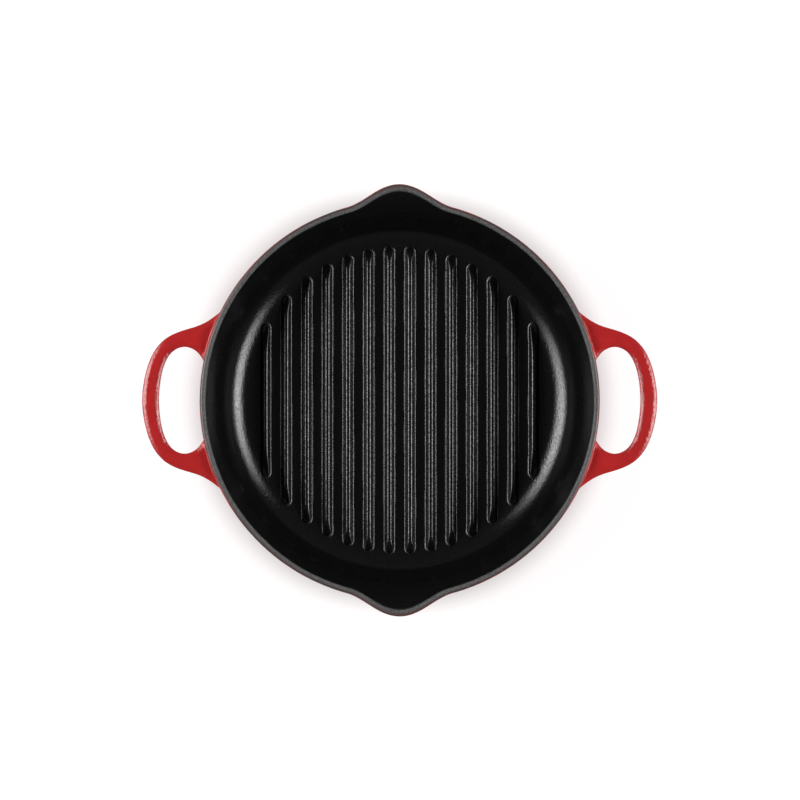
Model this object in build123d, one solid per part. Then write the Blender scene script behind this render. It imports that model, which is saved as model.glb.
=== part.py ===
from build123d import *
import math
import os

# Round enamelled cast-iron grill pan with two loop handles and two pouring lips.
# Millimetres, +Z up. The origin is at the middle of the pan, on the surface it stands on.
# X runs along the two handles, Y along the two pouring lips and along the grill ribs.
#
# The iron is a single casting: base plate, flared wall, ribs and handles. It is kept here as the
# regions of that casting, which meet face to face. Every surface of it carries a coat of vitreous
# enamel: gloss red outside and on the handles, satin black inside, matt charcoal on the rim.

# ---------------------------------------------------------------- driving dimensions
COAT = 0.4                 # thickness of the enamel coats

RIM_Z = 52.0               # height of the rim above the surface the pan stands on
RIM_R = 130.5              # outer radius of the rim before its edge is rounded, which leaves a 260 mm pan
RIM_WIDTH = 4.15           # width of the rim, seen from above
RIM_ROUND = 1.3            # rounding of the rim's two edges
RIM_BAND_Z = 50.5          # the rim's own coat begins at this height

LIP_OUT = 11.0             # how far a pouring lip stands out beyond the round rim, outside
LIP_IN = 10.6              # the same, inside
LIP_HALF_OUT = 15.5        # half of the angle that a lip takes up on the rim, outside, in degrees
LIP_HALF_IN = 15.0         # the same, inside
LIP_LOW_OUT_Z = 23.0       # the lip's channel runs out into the wall at this height, outside
LIP_LOW_IN_Z = 26.0        # the same, inside
LIP_POWER = 1.5            # how the channel deepens towards the rim

FLOOR_Z = 6.0              # cooking floor between the ribs
INNER_CORNER_R = 28.0      # radius between the floor and the wall
IN_SLOPE_UP = 0.245        # inner wall: how far it leans out for each mm of height, upper part
IN_SLOPE_LOW = 0.300       # the same, lower part
IN_KNEE_Z = 26.5           # height where the two meet

OUTER_CORNER_R = 30.0      # radius under the outer edge
OUT_SLOPE_UP = 0.255       # outer wall, as for the inner one
OUT_SLOPE_LOW = 0.300
OUT_KNEE_Z = 22.5

FOOT_IN_R = 82.0           # inner radius of the flat standing ring
FOOT_RECESS = 0.8          # depth of the recess inside it
FOOT_BEVEL = 1.6           # width of the slope between ring and recess

PLATE_R = 100.0            # base plate and wall of the casting meet on this radius
UNDER_R = 102.0            # underside coat and wall coat meet on this radius

RIB_COUNT = 14
RIB_PITCH = 13.75
RIB_HEIGHT = 5.0           # above the floor
RIB_CROWN_R = 2.2          # rounding of the rib's top
RIB_SIDE_DEG = 75.0        # slope of its sides
RIB_FOOT_R = 1.5           # rounding into the floor
RIB_END_R = 105.0          # the ends of all ribs lie on a circle of this radius, a little within the wall's rounding
RIB_FALL_R = 94.8          # outside this radius the ribs' tops fall away
RIB_FALL = 0.36            # by this much for each mm
RIB_SINK = 0.06            # the foot's rounding runs this far below the floor

HANDLE_TOP = [(96, 47.6), (124, 47.7), (134, 48.1), (142, 48.9), (152, 50.0), (161, 50.6), (172, 50.9)]
HANDLE_UNDER = [(96, 30.0), (118, 32.6), (126, 36.2), (133, 38.7), (142, 40.0), (152, 40.9), (161, 41.4), (172, 41.7)]
HANDLE_EDGE = 4.1          # rounding of the handle's long edges underneath
HANDLE_TOP_EDGE = 2.8      # rounding of its long edges on top, which are crisper
HANDLE_IN_X = 97.0         # the handle's stock begins here, inside the wall
# outline of a handle seen from above, from the wall to the tip, and the finger opening
HANDLE_OUTLINE = [(97.0, 70.0), (115.9, 58.3), (128.8, 49.5), (142.1, 45.1), (152.6, 39.8), (160.9, 29.4), (165.7, 14.5), (167.3, 0.0)]
HANDLE_HOLE = [(156.5, 0.0), (155.5, 13.0), (152.4, 24.6), (147.6, 31.7), (140.0, 34.7), (132.4, 31.9), (127.2, 25.2), (121.5, 13.5), (119.5, 0.0)]

TOP_Z = 64.0               # tools and blanks run up to here, well above the rim


# ---------------------------------------------------------------- the pan's turned shape
def corner(radius, slope, knee_r, knee_z, centre_z):
    """Centre radius of a corner arc tangent to a horizontal line below it and to a leaning wall line."""
    lean = math.atan(slope)
    wall_r_at_centre = knee_r - slope * (knee_z - centre_z)
    centre_r = wall_r_at_centre - radius / math.cos(lean)
    return centre_r, lean


OUT_KNEE_R = RIM_R - OUT_SLOPE_UP * (RIM_Z - OUT_KNEE_Z)
IN_KNEE_R = RIM_R - RIM_WIDTH - IN_SLOPE_UP * (RIM_Z - IN_KNEE_Z)
OUT_C_R, OUT_LEAN = corner(OUTER_CORNER_R, OUT_SLOPE_LOW, OUT_KNEE_R, OUT_KNEE_Z, OUTER_CORNER_R)
IN_C_R, IN_LEAN = corner(INNER_CORNER_R, IN_SLOPE_LOW, IN_KNEE_R, IN_KNEE_Z, FLOOR_Z + INNER_CORNER_R)


def turned(points_before, centre, radius, lean, slope, z_end):
    """Solid of revolution: a line into a corner arc, the leaning wall, then outward past everything."""
    cr, cz = centre
    a0 = (cr, cz - radius)
    mid = (cr + radius * math.sin(0.5 * (math.pi / 2 - lean)), cz - radius * math.cos(0.5 * (math.pi / 2 - lean)))
    a1 = (cr + radius * math.cos(lean), cz - radius * math.sin(lean))
    w1 = (a1[0] + slope * (z_end - a1[1]), z_end)
    far = 190.0
    line = [Line((p[0], 0, p[1]), (q[0], 0, q[1])) for p, q in zip(points_before, points_before[1:] + [a0])]
    arc = ThreePointArc((a0[0], 0, a0[1]), (mid[0], 0, mid[1]), (a1[0], 0, a1[1]))
    rest = Polyline((a1[0], 0, a1[1]), (w1[0], 0, w1[1]), (far, 0, z_end + 6), (far, 0, TOP_Z), (0, 0, TOP_Z),
                    (points_before[0][0], 0, points_before[0][1]))
    wire = Wire([*[e for l in line for e in l.edges()], *arc.edges(), *rest.edges()])
    return Solid.revolve(Face(wire), 360, Axis.Z)


def lip(angle_from_lip, half):
    return 0.5 * (1 + math.cos(math.pi * angle_from_lip / half)) if abs(angle_from_lip) < half else 0.0


def section(z, rim_r, slope, amount, half, low_z):
    """Closed outline of the wall at height z: two circular arcs and, between them, the two pouring lips."""
    r = rim_r - slope * (RIM_Z - z)
    depth = max(0.0, (z - low_z) / (RIM_Z - low_z)) ** LIP_POWER * amount

    def at(deg, extra=0.0):
        a = math.radians(deg)
        return Vector((r + extra) * math.cos(a), (r + extra) * math.sin(a), z)

    steps = 12
    edges = []
    for middle in (90, 270):
        pts = []
        for i in range(steps + 1):
            d = -half + 2 * half * i / steps
            pts.append(at(middle + d, depth * lip(d, half)))
        a0, a1 = math.radians(middle - half), math.radians(middle + half)
        t0 = Vector(-math.sin(a0), math.cos(a0), 0)
        t1 = Vector(-math.sin(a1), math.cos(a1), 0)
        edges.append(Edge.make_spline(pts, tangents=[t0, t1]))
        edges.append(Edge.make_three_point_arc(at(middle + half), at(middle + 90), at(middle + 180 - half)))
    return Wire(edges)


def funnel(rim_r, slope, amount, half, low_z):
    """The upper wall as a solid: leaning, round, with the two lips opening towards the rim."""
    heights = [8, low_z - 1, low_z + 5, 35, 41, 47, RIM_Z + 1, TOP_Z - 5]
    return Solid.make_loft([section(z, rim_r, slope, amount, half, low_z) for z in heights])


def outside(inset):
    """Everything within the pan's outer surface, which lies inset mm further in."""
    up = inset / math.cos(math.atan(OUT_SLOPE_UP))
    low = turned(
        [(0, FOOT_RECESS + inset), (FOOT_IN_R - FOOT_BEVEL - inset / 3, FOOT_RECESS + inset), (FOOT_IN_R - inset / 3, inset)],
        (OUT_C_R, OUTER_CORNER_R), OUTER_CORNER_R - inset, OUT_LEAN, OUT_SLOPE_LOW, OUT_KNEE_Z + 1.5)
    return low & funnel_block(RIM_R - up, OUT_SLOPE_UP, LIP_OUT, LIP_HALF_OUT, LIP_LOW_OUT_Z)


def funnel_block(rim_r, slope, amount, half, low_z):
    """The funnel, with a plain disc under it, so that it says nothing about the lower part."""
    top = funnel(rim_r, slope, amount, half, low_z)
    r = rim_r - slope * (RIM_Z - 8)
    return top + Pos(0, 0, 8) * Cylinder(r, 20, align=(Align.CENTER, Align.CENTER, Align.MAX))


def cavity(grow):
    """The pan's inside, with its surface grow mm further out."""
    up = grow / math.cos(math.atan(IN_SLOPE_UP))
    low = turned([(0, FLOOR_Z - grow)], (IN_C_R, FLOOR_Z + INNER_CORNER_R), INNER_CORNER_R + grow, IN_LEAN,
                 IN_SLOPE_LOW, IN_KNEE_Z + 1.2)
    return low & funnel_block(RIM_R - RIM_WIDTH + up, IN_SLOPE_UP, LIP_IN, LIP_HALF_IN, LIP_LOW_IN_Z)


def below(z, size=400):
    return Pos(0, 0, z) * Box(size, size, 200, align=(Align.CENTER, Align.CENTER, Align.MAX))


def above(z, size=400):
    return Pos(0, 0, z) * Box(size, size, 200, align=(Align.CENTER, Align.CENTER, Align.MIN))


def round_rim(shape, z, radius):
    """Rounds the two edges of the rim, which lie at height z."""
    solid = shape.solids()[0]
    edges = [e for e in solid.edges() if abs(e.bounding_box().min.Z - z) < 0.01 and e.bounding_box().size.Z < 0.01]
    return solid.fillet(radius, edges)


def end_face(solid, way):
    """The flat face that looks in the direction way and lies furthest that way."""
    flat = [f for f in solid.faces() if f.geom_type == GeomType.PLANE and f.normal_at().dot(way) > 0.999]
    return max(flat, key=lambda f: f.center().dot(way))


def between(outer, inner, way):
    """The solid between two nested shapes that both end on the same plane, which looks in the direction way."""
    a, b = outer.solids()[0], inner.solids()[0]
    end_a, end_b = end_face(a, way), end_face(b, way)
    ends = [Face(end_a.outer_wire(), [end_b.outer_wire()])]
    ends += [Face(wb, [wa]) for wa, wb in zip(end_a.inner_wires(), end_b.inner_wires())]
    sides_a = [f for f in a.faces() if not f.is_same(end_a)]
    sides_b = [-f for f in b.faces() if not f.is_same(end_b)]
    return Solid(Shell(sides_a + sides_b + ends))


# ---------------------------------------------------------------- ribs
def rib_half(inset):
    """Half of a rib's section, from the middle of its crown to its foot: the sizes of its arcs."""
    crown = RIB_CROWN_R - inset
    foot = RIB_FOOT_R + inset
    a = math.radians(RIB_SIDE_DEG)
    top = FLOOR_Z + RIB_HEIGHT - inset
    foot_z = FLOOR_Z - RIB_SINK - inset
    x1, z1 = crown * math.sin(a), top - crown * (1 - math.cos(a))
    z2 = foot_z + foot * (1 - math.cos(a))
    x2 = x1 + (z1 - z2) / math.tan(a)
    x3, z3 = x2 + foot * math.sin(a), foot_z
    m = a / 2
    crown_mid = (crown * math.sin(m), top - crown * (1 - math.cos(m)))
    foot_mid = (x3 - foot * math.sin(m), foot_z + foot * (1 - math.cos(m)))
    return top, crown_mid, (x1, z1), (x2, z2), foot_mid, (x3, z3)


RIB_HALF_WIDTH = rib_half(0.0)[5][0]


def rib_solid(x, inset):
    """One rib, as a solid that runs below the floor, so that it can be added to it or cut from a coat."""
    top, crown_mid, p1, p2, foot_mid, p3 = rib_half(inset)
    reach = math.sqrt(RIB_END_R ** 2 - x ** 2)
    straight = reach - RIB_HALF_WIDTH
    low = FLOOR_Z - 2.0

    def path(s):
        return [
            Edge.make_three_point_arc(Vector(0, 0, top), Vector(s * crown_mid[0], 0, crown_mid[1]), Vector(s * p1[0], 0, p1[1])),
            Edge.make_line(Vector(s * p1[0], 0, p1[1]), Vector(s * p2[0], 0, p2[1])),
            Edge.make_three_point_arc(Vector(s * p2[0], 0, p2[1]), Vector(s * foot_mid[0], 0, foot_mid[1]), Vector(s * p3[0], 0, p3[1])),
            Edge.make_line(Vector(s * p3[0], 0, p3[1]), Vector(s * p3[0], 0, low)),
        ]

    left, right = path(-1), path(1)
    full = Face(Wire([*left, *right, Edge.make_line(Vector(-p3[0], 0, low), Vector(p3[0], 0, low))]))
    bar = Pos(0, -straight, 0) * Solid.extrude(full, Vector(0, 2 * straight, 0))
    half = Face(Wire([*right, Edge.make_line(Vector(p3[0], 0, low), Vector(0, 0, low)), Edge.make_line(Vector(0, 0, low), Vector(0, 0, top))]))
    end = Solid.revolve(half, 180, Axis.Z)
    far = Pos(0, straight, 0) * end
    near = Pos(0, -straight, 0) * Rot(0, 0, 180) * end
    return Pos(x, 0, 0) * (bar + far + near)


def rib_cone(inset):
    """Everything under the cone on which the tops of all ribs fall away at their ends."""
    top = FLOOR_Z + RIB_HEIGHT - inset * math.hypot(1, RIB_FALL)

    def r_at(z):
        return RIB_FALL_R + (top - z) / RIB_FALL

    wire = Wire(Polyline((0, 0, -5), (0, 0, 18), (r_at(18), 0, 18), (r_at(5), 0, 5), (r_at(5), 0, -5), (0, 0, -5)).edges())
    return Solid.revolve(Face(wire), 360, Axis.Z)


RIB_X = [(i - (RIB_COUNT - 1) / 2) * RIB_PITCH for i in range(RIB_COUNT)]


# ---------------------------------------------------------------- handles
def inset_outline(points, inset, first, last):
    """Moves plan points sideways by inset, to the right of the way they run, which is into the handle.

    first and last are the directions in which the outline begins and ends."""
    out = []
    for i, (x, y) in enumerate(points):
        if i == 0:
            dx, dy = first
        elif i == len(points) - 1:
            dx, dy = last
        else:
            dx, dy = points[i + 1][0] - points[i - 1][0], points[i + 1][1] - points[i - 1][1]
        n = math.hypot(dx, dy)
        out.append((x + inset * dy / n, y - inset * dx / n))
    return out


def handle_blank(inset):
    """The right-hand handle, from inside the wall to its tip, before its long edges are rounded."""
    outline = inset_outline(HANDLE_OUTLINE, inset, (1.0, -0.55), (0.0, -1.0))
    outline[0] = (HANDLE_IN_X, outline[0][1])
    pts = [Vector(x, y, 0) for x, y in outline] + [Vector(x, -y, 0) for x, y in reversed(outline[:-1])]
    blank = Face(Wire([Edge.make_spline(pts), Edge.make_line(pts[-1], pts[0])]))
    hole = inset_outline(HANDLE_HOLE, inset, (0.0, 1.0), (0.0, -1.0))
    hpts = [Vector(x, y, 0) for x, y in hole] + [Vector(x, -y, 0) for x, y in reversed(hole[1:-1])]
    gap = Face(Wire([Edge.make_spline(hpts, periodic=True)]))
    prism = Solid.extrude(blank, Vector(0, 0, 70)) - Solid.extrude(gap, Vector(0, 0, 70))

    top = Edge.make_spline([Vector(x, -90, z - inset) for x, z in HANDLE_TOP])
    under = Edge.make_spline([Vector(x, -90, z + inset) for x, z in HANDLE_UNDER])
    slab = Face(Wire([top, Edge.make_line(top @ 1, under @ 1), under, Edge.make_line(under @ 0, top @ 0)]))
    return (prism & Solid.extrude(slab, Vector(0, 180, 0))).solids()[0]


def rounded_handle(inset):
    """The same with its long edges rounded; only the flat end inside the wall stays sharp."""
    blank = handle_blank(inset)
    edges = [e for e in blank.edges() if e.bounding_box().size.X > 3]
    upper = [e for e in edges if e.bounding_box().max.Z > HANDLE_TOP[0][1] - 1]
    lower = [e for e in edges if e.bounding_box().max.Z <= HANDLE_TOP[0][1] - 1]
    blank = blank.fillet(HANDLE_TOP_EDGE - inset, upper)
    lower = [e for e in blank.edges() if e.bounding_box().size.X > 3 and any((e @ 0.5 - f @ 0.5).length < 0.5 for f in lower)]
    return blank.fillet(HANDLE_EDGE - inset, lower)


if __name__ == "__main__":
    os.makedirs("parts", exist_ok=True)

    # ------------------------------------------------------------ blanks, each nested in the next
    up, down, inward = Vector(0, 0, 1), Vector(0, 0, -1), Vector(-1, 0, 0)
    pan_out, pan_iron = outside(0.0), outside(COAT)
    hollow, hollow_iron = cavity(0.0), cavity(COAT)
    handle, handle_iron = rounded_handle(0.0), rounded_handle(COAT)
    opposite = Rot(0, 0, 180)
    plate_column = Cylinder(PLATE_R, 200)
    under_column = Cylinder(UNDER_R, 200)

    # ------------------------------------------------------------ the casting
    cup = between(pan_iron, hollow_iron, up)
    iron = round_rim(cup & below(RIM_Z - COAT), RIM_Z - COAT, RIM_ROUND - COAT)
    base_plate = iron & plate_column
    side_wall = iron - plate_column
    iron_cone, coated_cone = rib_cone(COAT), rib_cone(0.0)
    iron_ribs = [rib_solid(x, COAT) & iron_cone for x in RIB_X]
    ribs = [r & hollow_iron for r in iron_ribs]
    right_iron = handle_iron - pan_iron
    left_iron = opposite * right_iron

    # ------------------------------------------------------------ the coats
    coated_ribs = [rib_solid(x, 0.0) & coated_cone for x in RIB_X]
    inside_now = hollow.solids()[0].cut(*[r.solids()[0] for r in coated_ribs])
    inside_before = hollow_iron.solids()[0].cut(*[r.solids()[0] for r in iron_ribs])
    interior = between(inside_before, inside_now, up) & below(RIM_BAND_Z)

    skin = between(pan_out, pan_iron, up) & below(RIM_BAND_Z)
    underside = skin & under_column
    wall_coat = (skin - under_column) - handle_iron - opposite * handle_iron
    handle_coat = between(handle, handle_iron, inward) - pan_out

    whole = between(pan_out, hollow, up) & below(RIM_Z) & above(RIM_Z - 12)
    rim_now = round_rim(whole, RIM_Z, RIM_ROUND) & above(RIM_BAND_Z)
    rim_before = iron & above(RIM_BAND_Z)
    rim = between(rim_now, rim_before, down)

    nodes = {
        "base_plate": base_plate,
        "side_wall": side_wall,
        "grill_ribs": ribs,
        "left_handle": left_iron,
        "right_handle": right_iron,
        "interior_enamel": interior,
        "rim_enamel": rim,
        "exterior_enamel": wall_coat,
        "underside_enamel": underside,
        "left_handle_enamel": Rot(0, 0, 180) * handle_coat,
        "right_handle_enamel": handle_coat,
    }
    for name, shape in nodes.items():
        solids = []
        for s in (shape if isinstance(shape, list) else [shape]):
            solids += list(s.solids())
        out = solids[0] if len(solids) == 1 else Compound(solids)
        print(name, len(solids), round(sum(s.volume for s in solids)))
        export_step(out, f"parts/{name}.step")
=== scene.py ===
import math

import bpy
import numpy as np
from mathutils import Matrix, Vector


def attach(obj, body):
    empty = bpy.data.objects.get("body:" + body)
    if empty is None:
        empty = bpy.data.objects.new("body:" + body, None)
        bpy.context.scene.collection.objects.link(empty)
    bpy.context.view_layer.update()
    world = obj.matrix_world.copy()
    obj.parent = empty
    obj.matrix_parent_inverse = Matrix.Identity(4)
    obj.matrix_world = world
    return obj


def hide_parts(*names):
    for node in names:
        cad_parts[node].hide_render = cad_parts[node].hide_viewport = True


# Looks of an enamelled cast-iron grill pan. Shapes are worked out in millimetres, in the pan's own
# frame: X along the handles, Y along the pouring lips and the ribs, Z up from the surface it stands on.

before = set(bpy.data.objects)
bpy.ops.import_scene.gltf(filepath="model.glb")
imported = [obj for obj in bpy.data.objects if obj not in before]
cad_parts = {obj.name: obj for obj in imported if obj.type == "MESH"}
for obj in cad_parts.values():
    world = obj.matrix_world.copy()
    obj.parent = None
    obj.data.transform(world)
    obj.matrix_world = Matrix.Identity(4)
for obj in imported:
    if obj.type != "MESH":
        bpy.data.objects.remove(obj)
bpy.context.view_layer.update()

# ---------------------------------------------------------------- the pan's sizes, as in the casting
RIM_Z, RIM_R, RIM_WIDTH, BAND_Z = 52.0, 130.5, 4.15, 50.5
ROUND_OUT, ROUND_IN = 2.0, 1.5              # rounding of the rim's outer and inner edge
RED_UP_TO = math.radians(40.0)              # the red runs over the outer edge up to this angle of its rounding
LIP_OUT, LIP_IN, LIP_HALF_OUT, LIP_HALF_IN, LIP_POWER = 11.2, 10.6, 15.5, 15.0, 1.5
LIP_LOW_OUT, LIP_LOW_IN = 23.0, 26.0
FLOOR_Z, IN_CORNER, IN_UP, IN_LOW, IN_KNEE = 6.0, 28.0, 0.245, 0.300, 26.5
OUT_CORNER, OUT_UP, OUT_LOW, OUT_KNEE = 30.0, 0.255, 0.300, 22.5
RING_R, RECESS, BEVEL = 82.0, 0.8, 1.6
RIBS, PITCH, RIB_H, CROWN, SIDE, FOOT, RIB_END = 14, 13.75, 5.0, 2.2, math.radians(75.0), 1.5, 103.6
RIB_TAPER = 1.08                            # how much longer than wide the rounded end of a rib is
FALL_R, FALL = 94.8, 0.36                   # outside this radius the ribs' tops fall away, by this much for each mm
COAT = 0.4

OUT_KNEE_R = RIM_R - OUT_UP * (RIM_Z - OUT_KNEE)
IN_KNEE_R = RIM_R - RIM_WIDTH - IN_UP * (RIM_Z - IN_KNEE)


def corner(radius, slope, knee_r, knee_z, centre_z):
    lean = math.atan(slope)
    return knee_r - slope * (knee_z - centre_z) - radius / math.cos(lean), lean


OUT_C, OUT_LEAN = corner(OUT_CORNER, OUT_LOW, OUT_KNEE_R, OUT_KNEE, OUT_CORNER)
IN_C, IN_LEAN = corner(IN_CORNER, IN_LOW, IN_KNEE_R, IN_KNEE, FLOOR_Z + IN_CORNER)


# ---------------------------------------------------------------- unevenness of the casting and the glaze
def waves(seed, count, short, long, rms):
    """Directions, phases and sizes of a set of plane waves, which together make a smooth unevenness."""
    rng = np.random.default_rng(seed)
    d = rng.normal(size=(count, 3))
    d /= np.linalg.norm(d, axis=1)[:, None]
    length = np.exp(rng.uniform(math.log(short), math.log(long), count))
    size = length / np.sqrt((length ** 2).mean())
    size *= rms * math.sqrt(2.0 / count)
    return d * (2 * math.pi / length)[:, None], rng.uniform(0, 2 * math.pi, count), size


def uneven(p, w):
    out = np.zeros(len(p))
    for k, phase, size in zip(*w):
        out += size * np.sin(p @ k + phase)
    return out


CAST = waves(11, 24, 18.0, 60.0, 0.036)      # slow: the casting itself
GLAZE = waves(12, 48, 2.6, 6.5, 0.012)       # quick: how the enamel ran
EDGE = waves(13, 24, 2.5, 14.0, 0.12)        # where one colour meets the next


# ---------------------------------------------------------------- mesh helpers
def make_mesh(name, verts_mm, faces, smooth=True):
    mesh = bpy.data.meshes.new(name)
    mesh.from_pydata((np.asarray(verts_mm, float) * 0.001).tolist(), [], [tuple(int(i) for i in f) for f in faces])
    mesh.validate()
    mesh.update()
    if smooth:
        mesh.polygons.foreach_set("use_smooth", [True] * len(mesh.polygons))
    o = bpy.data.objects.new(name, mesh)
    bpy.context.scene.collection.objects.link(o)
    return o


def loop_grid(rows, n):
    """Quads of a surface made of closed rings: row i's vertices are i*n to i*n+n-1, counter-clockwise from above."""
    i = np.arange(rows - 1)[:, None] * n
    j = np.arange(n)[None, :]
    k = (j + 1) % n
    return np.stack([i + j, i + k, i + n + k, i + n + j], -1).reshape(-1, 4)


def skin(name, rings, closed_low=False, weld_first=False):
    """A closed shell from a list of rings (each n x 3). The rings run once round the shell's section and join up."""
    n = len(rings[0])
    verts = np.concatenate(rings)
    rows = len(rings)
    faces = loop_grid(rows, n)
    j = np.arange(n)
    k = (j + 1) % n
    last = (rows - 1) * n
    faces = np.concatenate([faces, np.stack([last + j, last + k, k, j], -1)])
    return make_mesh(name, verts, faces)


def disc_skin(name, rings):
    """A closed shell whose first and last rings each close on a middle point."""
    n = len(rings[0])
    verts = np.concatenate(rings + [rings[0].mean(0)[None], rings[-1].mean(0)[None]])
    faces = loop_grid(len(rings), n).tolist()
    a, b, last = len(rings) * n, len(rings) * n + 1, (len(rings) - 1) * n
    for j in range(n):
        k = (j + 1) % n
        faces.append((a, k, j))
        faces.append((b, last + j, last + k))
    return make_mesh(name, verts, faces)


def outward(o):
    """Turns the faces so that they look out of the closed shell."""
    import bmesh
    bm = bmesh.new()
    bm.from_mesh(o.data)
    bmesh.ops.recalc_face_normals(bm, faces=bm.faces)
    bm.to_mesh(o.data)
    bm.free()
    o.data.update()
    return o


# ---------------------------------------------------------------- surfaces of revolution with two lips
N = 720
THETA = np.arange(N) * 2 * math.pi / N


def lip(theta, half_deg):
    d = np.abs((np.degrees(theta) - 90.0 + 90.0) % 180.0 - 90.0)
    return np.where(d < half_deg, 0.5 * (1 + np.cos(np.pi * d / half_deg)), 0.0)


LIP_O, LIP_I = lip(THETA, LIP_HALF_OUT), lip(THETA, LIP_HALF_IN)


def depth(z, low):
    """How much of a lip's full depth it has at height z."""
    return np.maximum(0.0, (z - low) / (RIM_Z - low)) ** LIP_POWER


def depth_slope(z, low):
    return LIP_POWER / (RIM_Z - low) * np.maximum(0.0, (z - low) / (RIM_Z - low)) ** (LIP_POWER - 1)


def ring(r, z):
    r = np.broadcast_to(np.asarray(r, float), (N,))
    z = np.broadcast_to(np.asarray(z, float), (N,))
    return np.stack([r * np.cos(THETA), r * np.sin(THETA), z], -1)


def outer_wall(z, inset=0.0):
    return ring(RIM_R - OUT_UP * (RIM_Z - z) + LIP_OUT * depth(z, LIP_LOW_OUT) * LIP_O - inset * 1.04, z)


def inner_wall(z, grow=0.0):
    return ring(RIM_R - RIM_WIDTH - IN_UP * (RIM_Z - z) + LIP_IN * depth(z, LIP_LOW_IN) * LIP_I + grow * 1.04, z)


def bumped(rings, w, strength=1.0):
    """Moves each point of the rings a little along the radius, by the unevenness."""
    out = []
    for r in rings:
        u = uneven(r, w) * strength
        away = np.stack([np.cos(THETA), np.sin(THETA), np.zeros(N)], -1)
        out.append(r + away * u[:, None])
    return out


# ---------------------------------------------------------------- the rim's coat
S_OUT = OUT_UP + LIP_OUT * depth_slope(RIM_Z, LIP_LOW_OUT) * LIP_O       # how far each wall leans at the rim, round the pan
S_IN = IN_UP + LIP_IN * depth_slope(RIM_Z, LIP_LOW_IN) * LIP_I
R_OUT = RIM_R + LIP_OUT * LIP_O
R_IN = RIM_R - RIM_WIDTH + LIP_IN * LIP_I
HALF_OUT = (math.pi / 2 - np.arctan(S_OUT)) / 2
HALF_IN = (math.pi / 2 + np.arctan(S_IN)) / 2
ROUND_O = np.minimum(ROUND_OUT, 2.6 * np.tan(HALF_OUT))      # less where a lip leans far out
TAN_O = ROUND_O / np.tan(HALF_OUT)
TAN_I = ROUND_IN / np.tan(HALF_IN)
START = -np.arctan(S_OUT)                                    # the outer wall's normal, against the horizontal


# the red climbs higher over the edge where a handle joins the wall
FROM_X = np.degrees(np.arctan2(np.abs(np.sin(THETA)), np.abs(np.cos(THETA))))
AT_ROOT = np.clip((FROM_X - 8) / 6, 0, 1) * np.clip((35 - FROM_X) / 6, 0, 1)
RED_TO = RED_UP_TO + math.radians(17.0) * AT_ROOT * AT_ROOT * (3 - 2 * AT_ROOT)


def over_outer_edge(a):
    """The outer rounding at angle a: 0 looks sideways and a right angle looks up."""
    return ring(R_OUT - TAN_O + ROUND_O * np.cos(a), RIM_Z - ROUND_O + ROUND_O * np.sin(a))


def rim_section():
    """Rings over the rim, from the red's edge outside, over the top, to the black coat's edge inside."""
    first = RED_TO + uneven(over_outer_edge(RED_TO), EDGE) / ROUND_O
    rings = [over_outer_edge(first + (math.pi / 2 - first) * q) for q in np.linspace(0, 1, 13)]
    d_r, d_z = R_IN + TAN_I, RIM_Z - ROUND_IN
    c_r = R_OUT - TAN_O
    for q in (0.33, 0.67):
        rings.append(ring(c_r + (d_r - c_r) * q, RIM_Z))
    end = math.pi - np.arctan(S_IN)
    for q in np.linspace(0, 1, 12):
        a = math.pi / 2 + (end - math.pi / 2) * q
        rings.append(ring(d_r + ROUND_IN * np.cos(a), d_z + ROUND_IN * np.sin(a)))
    z_in = d_z + ROUND_IN * np.sin(end)
    last = np.minimum(BAND_Z - 0.1, z_in - 0.05) + uneven(ring(R_IN, BAND_Z), EDGE) * 0.8
    last = np.minimum(last, z_in - 0.02)
    for q in (0.5, 1.0):
        z = z_in + (last - z_in) * q
        rings.append(ring(R_IN - S_IN * (RIM_Z - z), z))
    return rings


def inward(r, way, down):
    """A ring moved along the radius and down, for the hidden side of a coat."""
    rad = np.hypot(r[:, 0], r[:, 1])
    return ring(rad + way, r[:, 2] - down)


rim_top = bumped(rim_section(), CAST)
mid = len(rim_top) // 2
rim_piece = outward(skin("rim_coat", rim_top + [inward(rim_top[-1], 0.5, 0.0), inward(rim_top[mid], 0.0, 0.4), inward(rim_top[0], -0.5, 0.1)]))

# ---------------------------------------------------------------- the inside: floor, corner and wall
profile = [(r, FLOOR_Z) for r in np.concatenate([np.linspace(1.5, IN_C - 3.0, 46), [IN_C - 1.0]])]
profile += [(IN_C + IN_CORNER * math.sin(a), FLOOR_Z + IN_CORNER - IN_CORNER * math.cos(a))
            for a in np.linspace(0.0, math.pi / 2 - IN_LEAN, 48)]
inside = [ring(r, z) for r, z in profile]
z0 = profile[-1][1]
for z in np.concatenate([[IN_KNEE], np.linspace(IN_KNEE + 0.8, BAND_Z - 0.7, 32), [BAND_Z + 0.2]]):
    if z <= IN_KNEE:
        inside.append(ring(IN_KNEE_R - IN_LOW * (IN_KNEE - z), z))
    else:
        inside.append(inner_wall(z, 0.0 if z < BAND_Z else 0.25))
inside_top = bumped(inside, CAST)
back = []
for r in inside[::-3][1:]:
    rad = np.hypot(r[:, 0], r[:, 1])
    z = r[:, 2]
    # the hidden back of the coat lies a little deeper in the iron
    share = np.clip((rad - IN_C) / IN_CORNER, 0, 1)
    back.append(ring(rad + 0.3 * share, z - 0.3 * (1 - share * 0.7)))
inner_piece = outward(disc_skin("inside_coat", inside_top + back))


# ---------------------------------------------------------------- ribs
def rib_parts():
    """Where the parts of a rib's section begin: crown, side and foot."""
    x1 = CROWN * math.sin(SIDE)
    z1 = RIB_H - CROWN * (1 - math.cos(SIDE))
    z2 = FOOT * (1 - math.cos(SIDE))
    x2 = x1 + (z1 - z2) / math.tan(SIDE)
    x3 = x2 + FOOT * math.sin(SIDE)
    return x1, z1, x2, z2, x3


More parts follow.
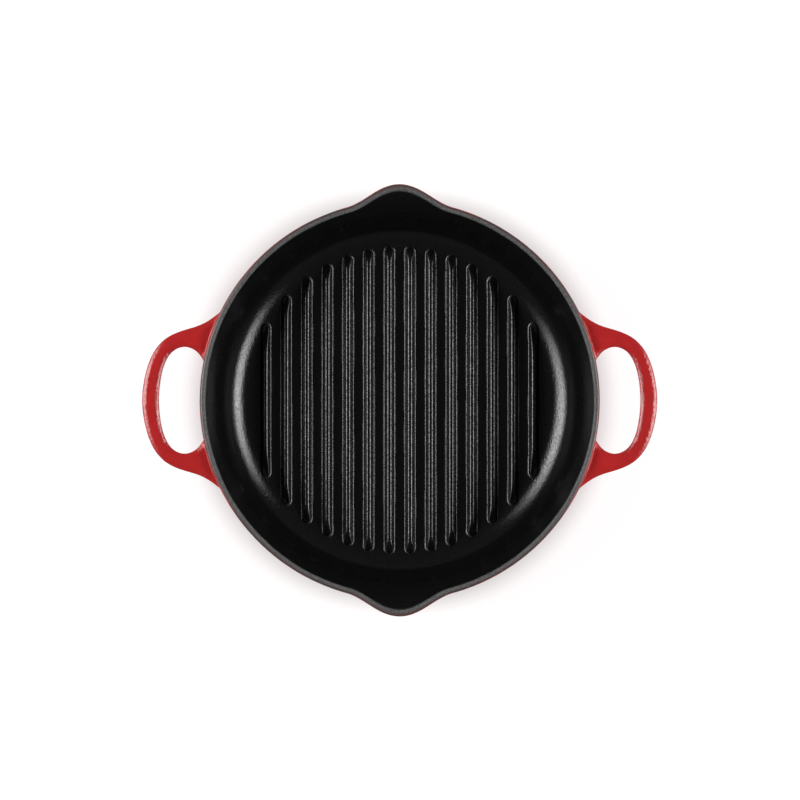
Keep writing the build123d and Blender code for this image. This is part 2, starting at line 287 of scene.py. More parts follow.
X1, Z1, X2, Z2, X3 = rib_parts()
section = [(CROWN * math.sin(a), RIB_H - CROWN * (1 - math.cos(a))) for a in np.linspace(0, SIDE, 9)]
section += [(X1 + (X2 - X1) * q, Z1 + (Z2 - Z1) * q) for q in (0.33, 0.67)]
section += [(X3 - FOOT * math.sin(a), FOOT * (1 - math.cos(a))) for a in np.linspace(SIDE, 0, 9)]


def floor_at(r):
    s = np.clip((r - IN_C) / IN_CORNER, 0, 0.99)
    return FLOOR_Z + IN_CORNER * (1 - np.sqrt(1 - s ** 2))


def rib_rings(x, section):
    reach = math.sqrt(RIB_END ** 2 - x ** 2) - X3 * RIB_TAPER
    m = max(12, int(round(reach * 2 / 1.6)))
    ys = np.linspace(-reach, reach, m + 1)
    arc = np.linspace(0, math.pi, 17)[1:-1]
    rings = []
    for d, h in section:
        right = np.stack([np.full(m + 1, d), ys], -1)
        top = np.stack([d * np.cos(arc), reach + RIB_TAPER * d * np.sin(arc)], -1)
        left = np.stack([np.full(m + 1, -d), ys[::-1]], -1)
        low = np.stack([-d * np.cos(arc), -reach - RIB_TAPER * d * np.sin(arc)], -1)
        xy = np.concatenate([right, top, left, low])
        xy[:, 0] += x
        r = np.hypot(xy[:, 0], xy[:, 1])
        ground = floor_at(r)
        cap = np.maximum(FLOOR_Z + RIB_H + 0.05 - FALL * (r - FALL_R), ground + 0.02 + 0.3 * h)
        z = ground + h
        z = 0.5 * (z + cap - np.sqrt((z - cap) ** 2 + 0.25 * min(1.0, h)))      # the lower of the two, blended
        z = np.maximum(z, ground) - 0.012
        rings.append(np.concatenate([xy, z[:, None]], 1))
    return rings, m


rib_verts, rib_faces, base = [], [], 0
for i in range(RIBS):
    x = (i - (RIBS - 1) / 2) * PITCH
    rings, m = rib_rings(x, section)
    skirt = rings[-1].copy()
    skirt[:, 2] -= 0.25
    rings = rings + [skirt]
    n = len(rings[0])
    moved = []
    for q, r in enumerate(rings):
        u = uneven(r, CAST) * 0.8
        r = r.copy()
        r[:, 2] += u * 0.9
        moved.append(r)
    # the crown line is two rows of the same points, so it is kept as one row
    crown = moved[0][: m + 1]
    verts = [crown] + moved[1:]
    v = np.concatenate(verts)
    n_arc = 15
    idx_crown = np.concatenate([np.arange(m + 1), np.full(n_arc, m), np.arange(m, -1, -1), np.full(n_arc, 0)])
    start = m + 1
    faces = []
    for j in range(n):
        k = (j + 1) % n
        a, b = idx_crown[j], idx_crown[k]
        c, d = start + k, start + j
        faces.append((a, b, c, d) if a != b else (a, c, d))
    rows_n = len(moved) - 1
    for r_ in range(rows_n - 1):
        s0, s1 = start + r_ * n, start + (r_ + 1) * n
        for j in range(n):
            k = (j + 1) % n
            faces.append((s0 + j, s0 + k, s1 + k, s1 + j))
    # the hidden underside: strips across, between the two long sides, and a fan at each end
    s = start + (rows_n - 1) * n
    for j in range(m):
        a, b = s + j, s + j + 1
        c, d = s + (m + 1 + n_arc) + (m - j - 1), s + (m + 1 + n_arc) + (m - j)
        faces.append((a, d, c, b))
    end = [s + m] + [s + m + 1 + q for q in range(n_arc)] + [s + m + 1 + n_arc]
    faces.append(tuple(end))
    low = [s + 2 * (m + 1) + n_arc - 1] + [s + 2 * (m + 1) + n_arc + q for q in range(n_arc)] + [s]
    faces.append(tuple(low))
    rib_faces += [tuple(int(t) + base for t in f) for f in faces]
    rib_verts.append(v)
    base += len(v)
rib_piece = outward(make_mesh("rib_coat", np.concatenate(rib_verts), rib_faces))

# ---------------------------------------------------------------- the outside: wall, corner and underside
profile = [(OUT_C + (OUT_CORNER) * math.cos(a), OUT_CORNER - OUT_CORNER * math.sin(a))
           for a in np.linspace(OUT_LEAN, math.pi / 2, 44)]
under_band = over_outer_edge(RED_TO + 0.35)
outside = [inward(under_band, -0.12, 0.02)]
outside += [over_outer_edge(START + (RED_TO + 0.12 - START) * q) for q in (1.0, 0.75, 0.5, 0.25, 0.0)]
top_z = RIM_Z - ROUND_O + ROUND_O * np.sin(START)
outside += [outer_wall(top_z + (OUT_KNEE + 1.0 - top_z) * q) for q in np.linspace(0.02, 1, 34)]
knee = [ring(OUT_KNEE_R - OUT_LOW * (OUT_KNEE - z), z) for z in (OUT_KNEE, 0.5 * (OUT_KNEE + profile[0][1]))]
bend = [ring(r, z) for r, z in profile]
UNDER_R = 102.0
flat = [r for r in bend if np.hypot(r[0, 0], r[0, 1]) > UNDER_R]
wall_rings = bumped(bumped(outside + knee + flat, CAST), GLAZE)
last_r = float(np.hypot(flat[-1][0, 0], flat[-1][0, 1]))
back = []
for r in (outside + knee + flat)[::-3]:
    rad, z = np.hypot(r[:, 0], r[:, 1]), r[:, 2]
    share = np.clip(1 - (z / OUT_CORNER), 0, 1)
    back.append(ring(rad - 0.3 * (1 - 0.7 * share), z + 0.3 * share))
wall_piece = outward(skin("outside_coat", wall_rings + back))

under_profile = [(last_r, float(flat[-1][0, 2]))] + [(r, z) for r, z in profile if OUT_C + 0.01 < r < last_r - 0.3] + [(r, 0.0) for r in (OUT_C, 92.0, 90.0, 88.0, 86.0, 84.0, RING_R)]
under_profile += [(RING_R - BEVEL * q, RECESS * (3 * q * q - 2 * q ** 3)) for q in (0.25, 0.5, 0.75, 1.0)]
under_profile += [(r, RECESS) for r in np.linspace(78.0, 2.0, 32)]
under_rings = [ring(r, z) for r, z in under_profile]
moved = []
for r in under_rings:
    r = r.copy()
    rad = np.hypot(r[:, 0], r[:, 1])
    u = np.maximum(uneven(r, CAST) * 0.7, 0.0) if rad[0] > RING_R - 0.1 else uneven(r, CAST)
    r[:, 2] += u if rad[0] < OUT_C else 0.0
    moved.append(r)
back = [ring(np.hypot(r[:, 0], r[:, 1]) - 0.02, r[:, 2] + 0.32) for r in under_rings[::-3]]
under_piece = outward(disc_skin("underside_coat", (moved + back[::1])[:0] + moved[::-1] + back[::-1]))

# ---------------------------------------------------------------- handles
HANDLE_TOP = [(96, 47.6), (124, 47.7), (134, 48.1), (142, 48.9), (152, 50.0), (161, 50.6), (172, 50.9)]
HANDLE_UNDER = [(96, 30.0), (118, 32.6), (126, 36.2), (133, 38.7), (142, 40.0), (152, 40.9), (161, 41.4), (172, 41.7)]
# width, height and roundness of a handle's edges: a soft bevel on top, towards the outline and the opening, and round below
BEVEL_OUT, BEVEL_IN, BELOW = (3.5, 1.55, 1.28), (3.4, 1.58, 1.28), (4.0, 4.0, 2.0)
HANDLE_OUTLINE = [(97.0, 70.0), (115.9, 58.3), (128.8, 49.5), (142.1, 45.1), (152.6, 39.8), (160.9, 29.4), (165.7, 14.5), (167.3, 0.0)]
HANDLE_HOLE = [(156.5, 0.0), (155.5, 13.0), (152.4, 24.6), (147.6, 31.7), (140.0, 34.7), (132.4, 31.9), (127.2, 25.2), (121.5, 13.5), (119.5, 0.0)]


def natural_spline(t, y, closed=False):
    """Second derivatives of a cubic spline through (t, y)."""
    n = len(t)
    if closed:
        m = n - 1
        a = np.zeros((m, m))
        b = np.zeros(m)
        h = np.diff(t)
        for i in range(m):
            h0, h1 = h[i - 1], h[i]
            a[i, i - 1] += h0
            a[i, i] += 2 * (h0 + h1)
            a[i, (i + 1) % m] += h1
            b[i] = 6 * ((y[i + 1] - y[i]) / h1 - (y[i] - y[i - 1 if i else m - 1]) / h0)
        s = np.linalg.solve(a, b)
        return np.append(s, s[0])
    a, b, h = np.eye(n), np.zeros(n), np.diff(t)
    for i in range(1, n - 1):
        a[i, i - 1], a[i, i], a[i, i + 1] = h[i - 1], 2 * (h[i - 1] + h[i]), h[i]
        b[i] = 6 * ((y[i + 1] - y[i]) / h[i] - (y[i] - y[i - 1]) / h[i - 1])
    # not a natural end: the third derivative carries on across the second knot
    a[0, :3] = [h[1], -(h[0] + h[1]), h[0]]
    a[-1, -3:] = [h[-1], -(h[-2] + h[-1]), h[-2]]
    return np.linalg.solve(a, b)


def spline_at(t, y, s, q):
    i = np.clip(np.searchsorted(t, q) - 1, 0, len(t) - 2)
    h = (t[1:] - t[:-1])[i]
    a, b = (t[i + 1] - q) / h, (q - t[i]) / h
    return a * y[i] + b * y[i + 1] + ((a ** 3 - a) * s[i] + (b ** 3 - b) * s[i + 1]) * h * h / 6


def curve(points, closed=False, n=900):
    p = np.array(points, float)
    if closed:
        p = np.concatenate([p, p[:1]])
    t = np.concatenate([[0], np.cumsum(np.linalg.norm(np.diff(p, axis=0), axis=1))])
    q = np.linspace(0, t[-1], n)
    return np.stack([spline_at(t, p[:, k], natural_spline(t, p[:, k], closed), q) for k in (0, 1)], -1)


outline = curve(HANDLE_OUTLINE + [(x, -y) for x, y in HANDLE_OUTLINE[-2::-1]])
hole = curve(HANDLE_HOLE + [(x, -y) for x, y in HANDLE_HOLE[-2:0:-1]], closed=True)


def distance_to(poly, pts, closed=True):
    """Signed distance in the plane from pts to a closed polyline, negative inside."""
    a = poly[:-1] if np.allclose(poly[0], poly[-1]) else poly
    b = np.roll(a, -1, axis=0)
    best = np.full(len(pts), 1e9)
    wind = np.zeros(len(pts), bool)
    for (ax, ay), (bx, by) in zip(a, b):
        ex, ey = bx - ax, by - ay
        ll = ex * ex + ey * ey
        if ll < 1e-12:
            continue
        wx, wy = pts[:, 0] - ax, pts[:, 1] - ay
        t = np.clip((wx * ex + wy * ey) / ll, 0, 1)
        best = np.minimum(best, (wx - t * ex) ** 2 + (wy - t * ey) ** 2)
        cross = ((ay > pts[:, 1]) != (by > pts[:, 1]))
        with np.errstate(divide="ignore", invalid="ignore"):
            xi = ax + (pts[:, 1] - ay) * ex / ey if abs(ey) > 1e-15 else np.full(len(pts), -1e9)
        wind ^= cross & (pts[:, 0] < xi)
    return np.sqrt(best) * np.where(wind, -1.0, 1.0)


STEP = 0.55
gx, gy = np.arange(94.0, 172.0, 0.3), np.arange(-84.0, 84.3, 0.3)
PX, PY = np.meshgrid(gx, gy, indexing="ij")
flat_pts = np.stack([PX.ravel(), PY.ravel()], -1)
plan = distance_to(outline, flat_pts).reshape(PX.shape)           # from the outline, negative inside it
gap = -distance_to(hole, flat_pts).reshape(PX.shape)              # from the finger opening, negative outside it
ht = np.array(HANDLE_TOP, float)
hu = np.array(HANDLE_UNDER, float)
st, su = natural_spline(ht[:, 0], ht[:, 1]), natural_spline(hu[:, 0], hu[:, 1])


def plan_at(plan, x, y):
    """A stored plan distance, between its grid points."""
    fx, fy = (x - gx[0]) / 0.3, (y - gy[0]) / 0.3
    fx, fy = np.clip(fx, 0, len(gx) - 1.001), np.clip(fy, 0, len(gy) - 1.001)
    i, j = fx.astype(int), fy.astype(int)
    u, v = fx - i, fy - j
    return (plan[i, j] * (1 - u) * (1 - v) + plan[i + 1, j] * u * (1 - v)
            + plan[i, j + 1] * (1 - u) * v + plan[i + 1, j + 1] * u * v)


def edge_at(side, level, width, height, power):
    """Distance to a side and a flat that meet in an edge of that width, height and roundness."""
    a, b = np.maximum(side / width + 1, 0) ** power, np.maximum(level / height + 1, 0) ** power
    share = a / np.maximum(a + b, 1e-9)
    edge = ((a + b) ** (1 / power) - 1) * (height * (1 - share) + width * share)
    return np.where(a + b > 0, edge, np.maximum(side, level))


def bar_at(p):
    """Distance to the handle alone: the plan and the slab, with their edges worked."""
    x = np.clip(p[:, 0], 97.0, 171.5)
    top = p[:, 2] - spline_at(ht[:, 0], ht[:, 1], st, x)
    low = spline_at(hu[:, 0], hu[:, 1], su, x) - p[:, 2]
    out, in_ = plan_at(plan, p[:, 0], p[:, 1]), plan_at(gap, p[:, 0], p[:, 1])
    return np.maximum(np.maximum(edge_at(out, top, *BEVEL_OUT), edge_at(in_, top, *BEVEL_IN)),
                      np.maximum(edge_at(out, low, *BELOW), edge_at(in_, low, *BELOW)))


def wall_at(p):
    """Distance to the round outer wall, negative within the pan."""
    r = np.hypot(p[:, 0], p[:, 1])
    up = RIM_R - OUT_UP * (RIM_Z - p[:, 2])
    low = OUT_KNEE_R - OUT_LOW * (OUT_KNEE - p[:, 2])
    return (r - np.minimum(up, low)) / math.hypot(1, OUT_UP)


SUNK = 0.03


def handle_at(p):
    bar = bar_at(p)
    q = np.clip((p[:, 2] - 39.0) / 6.5, 0, 1)
    fillet = 6.5 + (1.4 - 6.5) * q * q * (3 - 2 * q)
    # the skin dives under the wall's coat where its fillet runs out
    end = np.clip((bar - 0.70 * fillet) / (0.30 * fillet), 0, 1)
    wall = wall_at(p) + SUNK + 0.09 * end * end * (3 - 2 * end)
    a, b = np.maximum(fillet - bar, 0), np.maximum(fillet - wall, 0)
    joined = np.maximum(fillet, np.minimum(bar, wall)) - np.hypot(a, b)
    skin_ = joined - uneven(p, CAST) - uneven(p, GLAZE)
    near = np.maximum(bar - fillet - 0.7, -wall - 1.2)
    return np.maximum(skin_, near)


def nets(f, x, y, z):
    """Surface nets: the zero surface of a grid of distances, as vertices and quads."""
    nx, ny, nz = f.shape
    total = np.zeros((nx - 1, ny - 1, nz - 1, 3))
    count = np.zeros((nx - 1, ny - 1, nz - 1))
    grid = [x, y, z]
    quads = []
    inside = f < 0
    cell = np.full((nx - 1, ny - 1, nz - 1), -1, np.int64)
    edges = []
    for axis in range(3):
        s0 = [slice(None)] * 3
        s1 = [slice(None)] * 3
        s0[axis], s1[axis] = slice(None, -1), slice(1, None)
        a, b = f[tuple(s0)], f[tuple(s1)]
        hit = np.argwhere((a < 0) != (b < 0))
        fa, fb = a[tuple(hit.T)], b[tuple(hit.T)]
        t = fa / (fa - fb)
        p = np.stack([grid[k][hit[:, k]] for k in range(3)], -1).astype(float)
        p[:, axis] += t * (grid[axis][1] - grid[axis][0])
        o1, o2 = [k for k in range(3) if k != axis]
        for d1 in (0, 1):
            for d2 in (0, 1):
                c = hit.copy()
                c[:, o1] -= d1
                c[:, o2] -= d2
                ok = (c >= 0).all(1) & (c < np.array(total.shape[:3])).all(1)
                np.add.at(total, tuple(c[ok].T), p[ok])
                np.add.at(count, tuple(c[ok].T), 1)
        edges.append((axis, o1, o2, hit, fa < 0))
    used = np.argwhere(count > 0)
    cell[tuple(used.T)] = np.arange(len(used))
    verts = total[tuple(used.T)] / count[tuple(used.T)][:, None]
    for axis, o1, o2, hit, neg in edges:
        ok = (hit[:, o1] > 0) & (hit[:, o2] > 0) & (hit[:, o1] < total.shape[o1]) & (hit[:, o2] < total.shape[o2])
        h, neg = hit[ok], neg[ok]
        ids = []
        for d1, d2 in ((0, 0), (1, 0), (1, 1), (0, 1)):
            c = h.copy()
            c[:, o1] -= d1
            c[:, o2] -= d2
            ids.append(cell[tuple(c.T)])
        q = np.stack(ids, -1)
        flip = neg if axis != 1 else ~neg
        q[flip] = q[flip][:, ::-1]
        quads.append(q)
    return verts, np.concatenate(quads)


def settle(p, func, rounds=4):
    """Moves points onto the zero surface of func."""
    e = 0.05
    for _ in range(rounds):
        v = func(p)
        g = np.stack([(func(p + d) - func(p - d)) / (2 * e) for d in np.eye(3) * e], -1)
        p = p - g * (np.clip(v, -0.3, 0.3) / np.maximum((g ** 2).sum(1), 0.25))[:, None]
    return p


hx, hy, hz = np.arange(96.0, 169.0, STEP), np.arange(-80.3, 80.3 + STEP, STEP), np.arange(18.4, 53.6, STEP)
HX, HY, HZ = np.meshgrid(hx, hy, hz, indexing="ij")
field = handle_at(np.stack([HX.ravel(), HY.ravel(), HZ.ravel()], -1)).reshape(HX.shape)
hv, hq = nets(field, hx, hy, hz)
hv = settle(hv, handle_at)
right_handle = outward(make_mesh("right_handle_coat", hv, hq))
turned = hv * np.array([-1.0, -1.0, 1.0])
left_handle = outward(make_mesh("left_handle_coat", turned, hq))


# ---------------------------------------------------------------- materials
def new_material(name):
    m = bpy.data.materials.new(name)
    m.use_nodes = True
    nt = m.node_tree
    nt.nodes.clear()
    out = nt.nodes.new("ShaderNodeOutputMaterial")
    shader = nt.nodes.new("ShaderNodeBsdfPrincipled")
    nt.links.new(shader.outputs["BSDF"], out.inputs["Surface"])
    return m, nt, shader


def node(nt, kind, values=(), **props):
    n = nt.nodes.new(kind)
    for k, v in props.items():
        setattr(n, k, v)
    for k, v in values:
        n.inputs[k].default_value = v
    return n


def ramp(nt, stops, interpolation="LINEAR"):
    n = nt.nodes.new("ShaderNodeValToRGB")
    n.color_ramp.interpolation = interpolation
    el = n.color_ramp.elements
    while len(el) > 1:
        el.remove(el[-1])
    el[0].position, el[0].color = stops[0][0], stops[0][1]
    for pos, col in stops[1:]:
        e = el.new(pos)
        e.color = col
    return n


def grey(v):
    return (v, v, v, 1.0)


def noise(nt, coords, scale, detail=2.0, rough=0.5):
    n = node(nt, "ShaderNodeTexNoise", [("Scale", scale), ("Detail", detail), ("Roughness", rough)])
    nt.links.new(coords, n.inputs["Vector"])
    return n.outputs["Fac"]


def black_enamel():
    m, nt, s = new_material("satin_black_enamel")
    co = node(nt, "ShaderNodeTexCoord").outputs["Object"]
    s.inputs["IOR"].default_value = 1.50
    fine = noise(nt, co, 1400.0, 2.0, 0.6)
    tone = ramp(nt, [(0.25, (0.0034, 0.0034, 0.0035, 1)), (0.75, (0.0060, 0.0060, 0.0061, 1))])
    nt.links.new(fine, tone.inputs["Fac"])
    nt.links.new(tone.outputs["Color"], s.inputs["Base Color"])
    # patches of slightly different gloss, and a duller glaze up on the wall
    mid = noise(nt, co, 260.0, 3.0, 0.6)
    rough = ramp(nt, [(0.3, grey(0.10)), (0.7, grey(0.135))])
    nt.links.new(mid, rough.inputs["Fac"])
    split = node(nt, "ShaderNodeSeparateXYZ")
    nt.links.new(co, split.inputs["Vector"])
    up = node(nt, "ShaderNodeMapRange", [("From Min", 0.014), ("From Max", 0.034), ("To Min", 0.0), ("To Max", 0.20)], interpolation_type="SMOOTHSTEP")
    nt.links.new(split.outputs["Z"], up.inputs["Value"])
    total = node(nt, "ShaderNodeMath", operation="ADD")
    nt.links.new(rough.outputs["Color"], total.inputs[0])
    nt.links.new(up.outputs["Result"], total.inputs[1])
    nt.links.new(total.outputs[0], s.inputs["Roughness"])
    # fine pits that do not shine
    pits = ramp(nt, [(0.34, grey(0.20)), (0.52, grey(0.55)), (0.66, grey(0.66))])
    nt.links.new(noise(nt, co, 1150.0, 2.0, 0.6), pits.inputs["Fac"])
    nt.links.new(pits.outputs["Color"], s.inputs["Specular IOR Level"])
    grain = noise(nt, co, 820.0, 2.0, 0.5)
    bump = node(nt, "ShaderNodeBump", [("Strength", 0.7), ("Distance", 0.00015)])
    nt.links.new(grain, bump.inputs["Height"])
    nt.links.new(bump.outputs["Normal"], s.inputs["Normal"])
    return m


def charcoal_enamel():
    m, nt, s = new_material("matt_charcoal_enamel")
    co = node(nt, "ShaderNodeTexCoord").outputs["Object"]
    fine = noise(nt, co, 750.0, 4.0, 0.75)
    tone = ramp(nt, [(0.32, (0.045, 0.046, 0.047, 1)), (0.50, (0.092, 0.093, 0.093, 1)), (0.68, (0.190, 0.190, 0.186, 1))])
    nt.links.new(fine, tone.inputs["Fac"])
    # the coat thins towards the outer edge, where the ground coat under the red shows through
    split = node(nt, "ShaderNodeSeparateXYZ")
    nt.links.new(co, split.inputs["Vector"])
    flat = node(nt, "ShaderNodeCombineXYZ")
    nt.links.new(split.outputs["X"], flat.inputs["X"])
    nt.links.new(split.outputs["Y"], flat.inputs["Y"])
    away = node(nt, "ShaderNodeVectorMath", operation="NORMALIZE")
    nt.links.new(flat.outputs["Vector"], away.inputs[0])
    turn = node(nt, "ShaderNodeVectorMath", operation="DOT_PRODUCT")
    nt.links.new(away.outputs["Vector"], turn.inputs[0])
    nt.links.new(node(nt, "ShaderNodeNewGeometry").outputs["Normal"], turn.inputs[1])
    def math_of(operation, *values):
        n = node(nt, "ShaderNodeMath", operation=operation)
        for i, v in enumerate(values):
            if isinstance(v, (int, float)):
                n.inputs[i].default_value = v
            else:
                nt.links.new(v, n.inputs[i])
        return n.outputs[0]

    # how far a point lies inside the outline, which the lips carry outwards
    aside = math_of("ABSOLUTE", math_of("ARCTAN2", split.outputs["X"], math_of("ABSOLUTE", split.outputs["Y"])))
    swing = math_of("COSINE", math_of("MINIMUM", math_of("MULTIPLY", aside, 180.0 / LIP_HALF_OUT), math.pi))
    reach = math_of("MULTIPLY_ADD", swing, 0.5e-3 * (LIP_OUT - 1.5), 1e-3 * RIM_R + 0.5e-3 * (LIP_OUT - 1.5))
    length = node(nt, "ShaderNodeVectorMath", operation="LENGTH")
    nt.links.new(flat.outputs["Vector"], length.inputs[0])
    across = math_of("SUBTRACT", reach, length.outputs["Value"])
    edge = node(nt, "ShaderNodeMapRange", [("From Min", 0.0014), ("From Max", 0.0032), ("To Min", 0.92), ("To Max", 0.0)])
    nt.links.new(across, edge.inputs["Value"])
    mix = node(nt, "ShaderNodeMix", data_type="RGBA", blend_type="MIX")
    nt.links.new(edge.outputs["Result"], mix.inputs["Factor"])
    nt.links.new(tone.outputs["Color"], mix.inputs["A"])
    mix.inputs["B"].default_value = (0.072, 0.042, 0.039, 1)
    nt.links.new(mix.outputs["Result"], s.inputs["Base Color"])
    gloss = node(nt, "ShaderNodeMapRange", [("From Min", 0.02), ("From Max", 0.36), ("To Min", 0.50), ("To Max", 0.15)])
    nt.links.new(turn.outputs["Value"], gloss.inputs["Value"])
    nt.links.new(gloss.outputs["Result"], s.inputs["Roughness"])
    grain = noise(nt, co, 1100.0, 3.0, 0.7)
    bump = node(nt, "ShaderNodeBump", [("Strength", 0.5), ("Distance", 0.0003)])
    nt.links.new(grain, bump.inputs["Height"])
    nt.links.new(bump.outputs["Normal"], s.inputs["Normal"])
    return m


def red_enamel(name="gloss_red_enamel", dull=0.0):
    m, nt, s = new_material(name)
    tex = node(nt, "ShaderNodeTexCoord")
    co = tex.outputs["Object"]
    # the glaze is a little darker the further out it lies, and mottled
    split = node(nt, "ShaderNodeSeparateXYZ")
    nt.links.new(co, split.inputs["Vector"])
    far = node(nt, "ShaderNodeMath", operation="ABSOLUTE")
    nt.links.new(split.outputs["X"], far.inputs[0])
    span = node(nt, "ShaderNodeMapRange", [("From Min", 0.125), ("From Max", 0.150), ("To Min", 0.0), ("To Max", 1.0)])
    nt.links.new(far.outputs[0], span.inputs["Value"])
    tone = ramp(nt, [(0.0, (0.50, 0.022, 0.022, 1)), (1.0, (0.47, 0.020, 0.021, 1))])
    nt.links.new(span.outputs["Result"], tone.inputs["Fac"])
    mott = noise(nt, co, 90.0, 3.0, 0.55)
    shade = ramp(nt, [(0.3, grey(0.90)), (0.7, grey(1.0))])
    nt.links.new(mott, shade.inputs["Fac"])
    mix = node(nt, "ShaderNodeMix", data_type="RGBA", blend_type="MULTIPLY")
    mix.inputs["Factor"].default_value = 1.0
    nt.links.new(tone.outputs["Color"], mix.inputs["A"])
    nt.links.new(shade.outputs["Color"], mix.inputs["B"])
    nt.links.new(mix.outputs["Result"], s.inputs["Base Color"])
    patch = noise(nt, co, 400.0, 2.0, 0.5)
    rough = ramp(nt, [(0.3, grey(0.10 + dull)), (0.7, grey(0.15 + dull))])
    nt.links.new(patch, rough.inputs["Fac"])
    nt.links.new(rough.outputs["Color"], s.inputs["Roughness"])
    s.inputs["IOR"].default_value = 1.52
    peel = noise(nt, co, 560.0, 2.0, 0.5)
    bump = node(nt, "ShaderNodeBump", [("Strength", 0.9), ("Distance", 0.0003)])
    nt.links.new(peel, bump.inputs["Height"])
    nt.links.new(bump.outputs["Normal"], s.inputs["Normal"])
    return m


def cast_iron():
    m, nt, s = new_material("bare_cast_iron")
    co = node(nt, "ShaderNodeTexCoord").outputs["Object"]
    fine = noise(nt, co, 700.0, 4.0, 0.65)
    tone = ramp(nt, [(0.3, (0.035, 0.034, 0.033, 1)), (0.7, (0.085, 0.082, 0.079, 1))])
    nt.links.new(fine, tone.inputs["Fac"])
    nt.links.new(tone.outputs["Color"], s.inputs["Base Color"])
    s.inputs["Metallic"].default_value = 0.6
    s.inputs["Roughness"].default_value = 0.62
    bump = node(nt, "ShaderNodeBump", [("Strength", 0.6), ("Distance", 0.0004)])
    nt.links.new(fine, bump.inputs["Height"])
    nt.links.new(bump.outputs["Normal"], s.inputs["Normal"])
    return m


BLACK, CHARCOAL, RED, UNDER, IRON = black_enamel(), charcoal_enamel(), red_enamel(), red_enamel("underside_red_enamel", 0.18), cast_iron()


def wear(o, material):
    o.data.materials.clear()
    o.data.materials.append(material)


for o, material, slot, nodes in [
    (rim_piece, CHARCOAL, "charcoal_enamel", ["rim_enamel"]),
    (inner_piece, BLACK, "black_enamel", ["interior_enamel"]),
    (rib_piece, BLACK, "black_enamel", []),
    (wall_piece, RED, "red_enamel", ["exterior_enamel"]),
    (under_piece, UNDER, "underside_enamel", ["underside_enamel"]),
    (right_handle, RED, "red_enamel", ["right_handle_enamel"]),
    (left_handle, RED, "red_enamel", ["left_handle_enamel"]),
]:
    wear(o, material)
    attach(o, "root")
    if nodes:
        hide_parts(*nodes)

for name in ("base_plate", "side_wall", "grill_ribs", "left_handle", "right_handle"):
    wear(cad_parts[name], IRON)

# ---------------------------------------------------------------- floor
bpy.ops.mesh.primitive_plane_add(size=6.0, location=(0, 0, 0))
floor = bpy.context.object
floor.name = "floor"
m, nt, s = new_material("pale_floor")
co = node(nt, "ShaderNodeTexCoord").outputs["Object"]
f = noise(nt, co, 3.0, 1.0, 0.5)
tone = ramp(nt, [(0.0, grey(0.31)), (1.0, grey(0.33))])
nt.links.new(f, tone.inputs["Fac"])
nt.links.new(tone.outputs["Color"], s.inputs["Base Color"])
s.inputs["Roughness"].default_value = 1.0
s.inputs["Specular IOR Level"].default_value = 0.0
s.inputs["Emission Color"].default_value = grey(1.0)
split = node(nt, "ShaderNodeSeparateXYZ")
nt.links.new(co, split.inputs["Vector"])
flat = node(nt, "ShaderNodeCombineXYZ")
nt.links.new(split.outputs["X"], flat.inputs["X"])
nt.links.new(split.outputs["Y"], flat.inputs["Y"])
# the floor glows evenly far out, but less within 124-150 mm of the middle: a painted contact shadow round the pan
reach = node(nt, "ShaderNodeVectorMath", operation="LENGTH")
nt.links.new(flat.outputs["Vector"], reach.inputs[0])
glow_with_painted_shadow = node(nt, "ShaderNodeMapRange", [("From Min", 0.124), ("From Max", 0.150), ("To Min", 0.35), ("To Max", 0.80)], interpolation_type="SMOOTHSTEP")
nt.links.new(reach.outputs["Value"], glow_with_painted_shadow.inputs["Value"])
nt.links.new(glow_with_painted_shadow.outputs["Result"], s.inputs["Emission Strength"])
floor.data.materials.append(m)


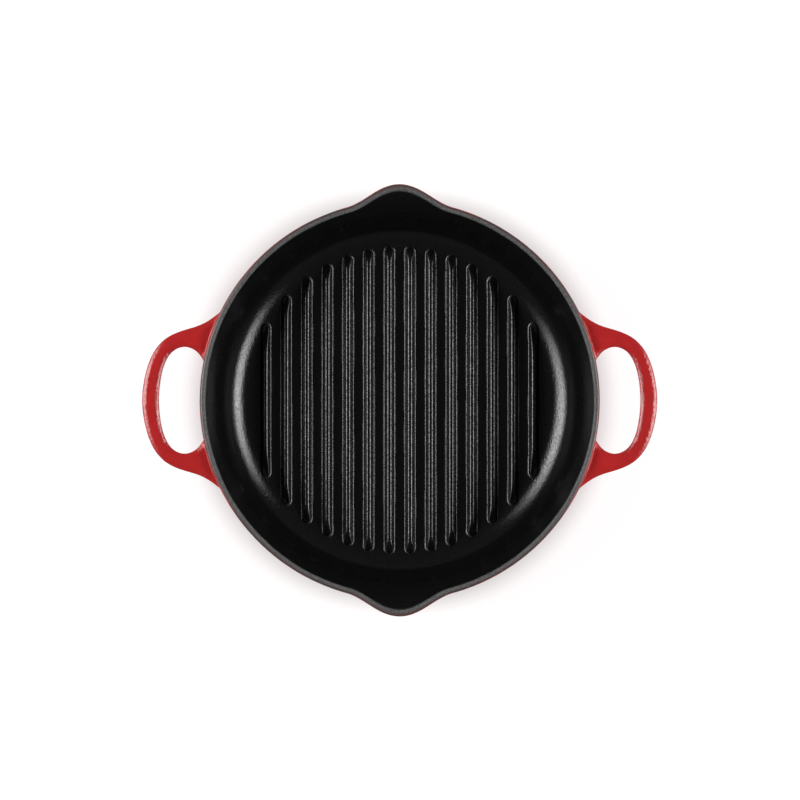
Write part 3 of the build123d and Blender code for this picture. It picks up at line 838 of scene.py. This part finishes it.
# ---------------------------------------------------------------- light
def softbox(name, azimuth, elevation, distance, width, height, power):
    """A large lamp that is brightest in its middle, as seen from the pan."""
    data = bpy.data.lights.new(name, "AREA")
    data.shape = "RECTANGLE"
    data.size, data.size_y = width, height
    data.energy = power
    data.use_nodes = True
    nt = data.node_tree
    nt.nodes.clear()
    out = nt.nodes.new("ShaderNodeOutputLight")
    emit = nt.nodes.new("ShaderNodeEmission")
    where = nt.nodes.new("ShaderNodeNewGeometry")
    split = nt.nodes.new("ShaderNodeSeparateXYZ")
    nt.links.new(where.outputs["Parametric"], split.inputs["Vector"])
    fades = []
    for axis, stops in (("X", [(0.0, 0.0), (0.46, 1.0), (0.54, 1.0), (1.0, 0.0)]), ("Y", BOX_FADE)):
        r = nt.nodes.new("ShaderNodeValToRGB")
        r.color_ramp.interpolation = "EASE"
        el = r.color_ramp.elements
        el[0].position, el[0].color = stops[0][0], (stops[0][1],) * 3 + (1,)
        el[1].position, el[1].color = stops[-1][0], (stops[-1][1],) * 3 + (1,)
        for pos, v in stops[1:-1]:
            e = el.new(pos)
            e.color = (v, v, v, 1)
        nt.links.new(split.outputs[axis], r.inputs["Fac"])
        fades.append(r.outputs["Color"])
    both = nt.nodes.new("ShaderNodeMath")
    both.operation = "MULTIPLY"
    nt.links.new(fades[0], both.inputs[0])
    nt.links.new(fades[1], both.inputs[1])
    nt.links.new(both.outputs[0], emit.inputs["Strength"])
    nt.links.new(emit.outputs["Emission"], out.inputs["Surface"])
    o = bpy.data.objects.new(name, data)
    a, e = math.radians(azimuth), math.radians(elevation)
    away = Vector((math.cos(a) * math.cos(e), math.sin(a) * math.cos(e), math.sin(e)))
    o.location = Vector((0, 0, 0.03)) + away * distance
    o.rotation_mode = "QUATERNION"
    o.rotation_quaternion = away.to_track_quat("Z", "Y")
    bpy.context.scene.collection.objects.link(o)
    return o


BOX_FADE = [(0.0, 0.0), (0.35, 1.0), (0.60, 1.0), (1.0, 0.0)]      # from the box's lower edge to its upper one
for side, azimuth, elevation, width, height, level in (("right", -2, 32.0, 1.74, 0.77, 10.2), ("left", 172.5, 34.1, 1.78, 0.90, 9.5)):
    softbox("box_" + side, azimuth, elevation, 1.3, width, height, width * height * math.pi * level)

world = bpy.data.worlds.new("studio")
bpy.context.scene.world = world
world.use_nodes = True
nt = world.node_tree
nt.nodes.clear()
out = nt.nodes.new("ShaderNodeOutputWorld")
bg = nt.nodes.new("ShaderNodeBackground")
tc = nt.nodes.new("ShaderNodeTexCoord")
sep = nt.nodes.new("ShaderNodeSeparateXYZ")
nt.links.new(tc.outputs["Generated"], sep.inputs["Vector"])
r = nt.nodes.new("ShaderNodeValToRGB")
el = r.color_ramp.elements
el[0].position, el[0].color = 0.0, (0.12, 0.12, 0.12, 1)
el[1].position, el[1].color = 0.85, (0.07, 0.07, 0.07, 1)
nt.links.new(sep.outputs["Z"], r.inputs["Fac"])
nt.links.new(r.outputs["Color"], bg.inputs["Color"])
bg.inputs["Strength"].default_value = 1.0
nt.links.new(bg.outputs["Background"], out.inputs["Surface"])

# ---------------------------------------------------------------- camera
CAM_H = 1.652
PIXEL = 0.64825e-3                          # metres of the rim's plane that one picture element covers
cam_data = bpy.data.cameras.new("camera")
cam_data.sensor_width = 36.0
cam_data.lens = 36.0 * (CAM_H - 0.052) / (800 * PIXEL)
cam = bpy.data.objects.new("camera", cam_data)
cam.location = (0.3 * PIXEL, 0.3 * PIXEL, CAM_H)
cam.rotation_euler = (0, 0, 0)
bpy.context.scene.collection.objects.link(cam)
bpy.context.scene.camera = cam
bpy.context.scene.view_settings.view_transform = "Standard"
bpy.context.scene.view_settings.look = "None"
bpy.context.scene.view_settings.exposure = 0.0
